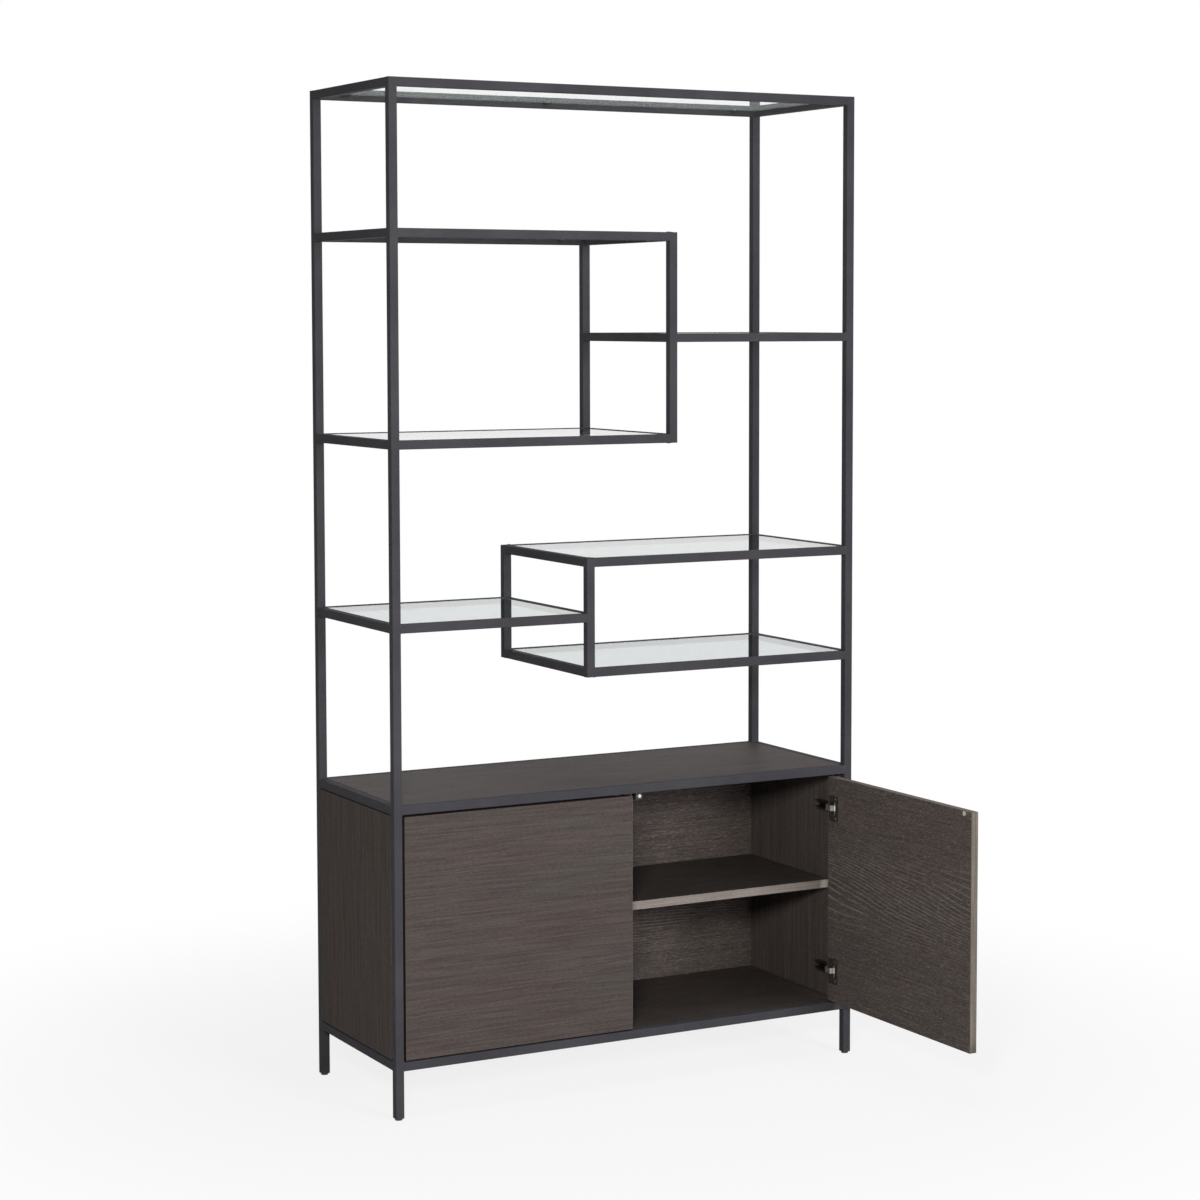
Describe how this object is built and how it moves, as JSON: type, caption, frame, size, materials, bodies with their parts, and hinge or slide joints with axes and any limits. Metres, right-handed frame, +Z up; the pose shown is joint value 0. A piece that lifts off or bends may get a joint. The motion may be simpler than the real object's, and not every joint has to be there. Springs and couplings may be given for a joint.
{
  "type": "bookcase",
  "caption": "Tall open bookcase: square-tube frame with stepped box bays and inset glass shelves over a wooden cabinet with hinged push-open doors.",
  "frame": {"origin": "on the floor, at the centre of the four feet", "axes": "the doors face -Y, +X is to the right seen from the front, +Z is up"},
  "size_m": [1.2, 1.0092, 2.3],
  "materials": {
    "frame": "matt charcoal powder coat",
    "glass": "clear, polished edges",
    "bumpers": "clear soft plastic",
    "oak": "brushed oak, dark grey-brown stain",
    "inner_oak": "brushed oak, dark grey-brown stain",
    "pins": "plain",
    "screws": "zinc plated",
    "hinges": "nickel plated",
    "latches": "black",
    "plungers": "white",
    "strikes": "plain",
    "glides": "black"
  },
  "bodies": {
    "bookcase": {"post_front_left": "frame", "post_front_right": "frame", "post_back_left": "frame", "post_back_right": "frame", "top_rails": "frame", "upper_box_top_rails": "frame", "upper_box_bottom_rails": "frame", "upper_box_uprights": "frame", "middle_shelf_rails": "frame", "lower_box_top_rails": "frame", "lower_box_bottom_rails": "frame", "lower_box_uprights": "frame", "left_shelf_rails": "frame", "cabinet_top_rails": "frame", "cabinet_bottom_rails": "frame", "shelf_tabs": "frame", "cabinet_tabs": "frame", "top_glass": "glass", "upper_box_top_glass": "glass", "middle_glass": "glass", "upper_box_bottom_glass": "glass", "lower_box_top_glass": "glass", "left_glass": "glass", "lower_box_bottom_glass": "glass", "glass_bumpers": "bumpers", "cabinet_top_panel": "oak", "cabinet_side_left": "oak", "cabinet_side_right": "oak", "cabinet_bottom_panel": "inner_oak", "cabinet_back_panel": "inner_oak", "cabinet_divider": "inner_oak", "cabinet_shelf_left": "inner_oak", "cabinet_shelf_right": "inner_oak", "shelf_pins": "pins", "back_screws": "screws", "hinge_screws": "screws", "latch_screws": "screws", "hinge_arms": "hinges", "latch_bodies": "latches", "foot_glides": "glides"},
    "door_left": {"door_left": "oak", "hinge_cups_left": "hinges", "cup_screws_left": "screws", "strike_left": "strikes"},
    "hinge_links_left": {"hinge_links_left": "hinges"},
    "latch_plunger_left": {"latch_plunger_left": "plungers"},
    "door_right": {"door_right": "oak", "hinge_cups_right": "hinges", "cup_screws_right": "screws", "strike_right": "strikes"},
    "hinge_links_right": {"hinge_links_right": "hinges"},
    "latch_plunger_right": {"latch_plunger_right": "plungers"}
  },
  "joints": [
    {"name": "door_right_hinge", "type": "hinge", "parent": "bookcase", "child": "door_right", "pos_m": [0.561, -0.225, 0.407], "axis": [0, 0, 1], "range_deg": [-91, 4]},
    {"name": "door_left_hinge", "type": "hinge", "parent": "bookcase", "child": "door_left", "pos_m": [-0.561, -0.225, 0.407], "axis": [0, 0, -1], "range_deg": [0, 95]},
    {"name": "links_right_pin", "type": "hinge", "parent": "door_right", "child": "hinge_links_right", "pos_m": [0.54909, -0.23021, 0.407], "axis": [0, 0, 1], "range_deg": [-5, 112]},
    {"name": "links_left_pin", "type": "hinge", "parent": "door_left", "child": "hinge_links_left", "pos_m": [-0.556, -0.213, 0.407], "axis": [0, 0, -1], "range_deg": [-116, 0]},
    {"name": "latch_right_press", "type": "slide", "parent": "bookcase", "child": "latch_plunger_right", "axis": [0, 1, 0], "range_m": [0, 0.003]},
    {"name": "latch_left_press", "type": "slide", "parent": "bookcase", "child": "latch_plunger_left", "axis": [0, 1, 0], "range_m": [0, 0.003]}
  ],
  "couplings": [
    {"joint": "links_right_pin", "follows": "door_right_hinge", "ratio": -1.2198},
    {"joint": "links_left_pin", "follows": "door_left_hinge", "ratio": -1.2198}
  ]
}
